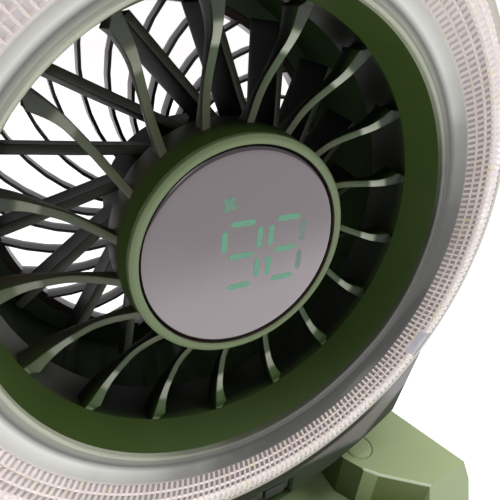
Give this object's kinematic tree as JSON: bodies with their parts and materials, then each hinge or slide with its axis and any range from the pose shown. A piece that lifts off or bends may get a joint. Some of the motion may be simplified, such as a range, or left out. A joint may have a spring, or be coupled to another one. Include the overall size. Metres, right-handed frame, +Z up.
{
  "type": "portable camping fan",
  "caption": "Tilting table fan with a clear light ring round the guard, a hub display, and a faceted battery base with a power button.",
  "frame": {"origin": "on the ground under the middle of the base", "axes": "+Z up, -Y the way the fan blows and its display faces, +X to the right as seen from the front"},
  "size_m": [0.196, 0.118, 0.245],
  "materials": {
    "clear_plastic": "clear with moulded prisms",
    "board_white": "white circuit board",
    "led_chip": "diffuse yellow",
    "dark_green": "satin dark green",
    "guard_green": "satin deep green",
    "light_green": "satin light green",
    "smoked_lens": "mirror smoke",
    "mint_light": "lit mint green",
    "black_plastic": "matt black",
    "gloss_black": "gloss black",
    "board_green": "green circuit board",
    "rear_grey": "satin grey-brown",
    "bronze": "sintered",
    "core_steel": "laminated",
    "copper_wire": "enamelled wire",
    "steel": "bright",
    "magnet": "ferrite grey",
    "sage": "fine satin sage green",
    "cell_blue": "wrapped cell",
    "soft_black": "matt"
  },
  "bodies": {
    "base": {"base_shell": "sage", "base_plate": "black_plastic", "hinge_pins": "steel", "hinge_washers": "soft_black", "battery_cells": "cell_blue", "battery_tray": "black_plastic", "cell_strips": "steel", "main_board": "board_green", "port_board": "board_green", "charge_port": "steel", "power_switch": "black_plastic", "rubber_feet": "soft_black", "base_screws": "steel"},
    "head": {"light_ring_lens": "clear_plastic", "led_board": "board_white", "led_chips": "led_chip", "front_frame": "dark_green", "guard_funnel": "guard_green", "front_guard": "guard_green", "hub_rim": "light_green", "display_lens": "smoked_lens", "display_windows": "mint_light", "display_module": "black_plastic", "display_board": "board_green", "rear_shell": "dark_green", "rear_guard": "rear_grey", "motor_mount": "black_plastic", "front_bearing": "bronze", "rear_bearing": "bronze", "stator_core": "core_steel", "stator_coils": "copper_wire", "guard_screws": "steel", "shell_screws": "steel", "key_panel": "gloss_black", "key_board": "board_green"},
    "impeller": {"impeller": "gloss_black", "motor_shaft": "steel", "rotor_cup": "steel", "rotor_magnet": "magnet", "shaft_clip": "steel"},
    "key_power": {"key_power": "black_plastic"},
    "key_speed": {"key_speed": "black_plastic"},
    "key_light": {"key_light": "black_plastic"},
    "power_button": {"power_button": "sage"}
  },
  "joints": [
    {"name": "head_tilt", "type": "hinge", "parent": "base", "child": "head", "pos_m": [0, 0.014, 0.046], "axis": [-1, 0, 0], "range_deg": [0, 40]},
    {"name": "impeller_spin", "type": "hinge", "parent": "head", "child": "impeller", "pos_m": [0, 0.03, 0.156], "axis": [0, 1, 0], "continuous": true},
    {"name": "power_button_press", "type": "slide", "parent": "base", "child": "power_button", "axis": [0, 0, -1], "range_m": [0, 0.0008], "stiffness_N_per_m": 900, "springref_m": -0.0004},
    {"name": "key_power_press", "type": "slide", "parent": "head", "child": "key_power", "axis": [0, 1, 0], "range_m": [0, 0.0008], "stiffness_N_per_m": 900, "springref_m": -0.0004},
    {"name": "key_speed_press", "type": "slide", "parent": "head", "child": "key_speed", "axis": [0, 1, 0], "range_m": [0, 0.0008], "stiffness_N_per_m": 900, "springref_m": -0.0004},
    {"name": "key_light_press", "type": "slide", "parent": "head", "child": "key_light", "axis": [0, 1, 0], "range_m": [0, 0.0008], "stiffness_N_per_m": 900, "springref_m": -0.0004}
  ]
}
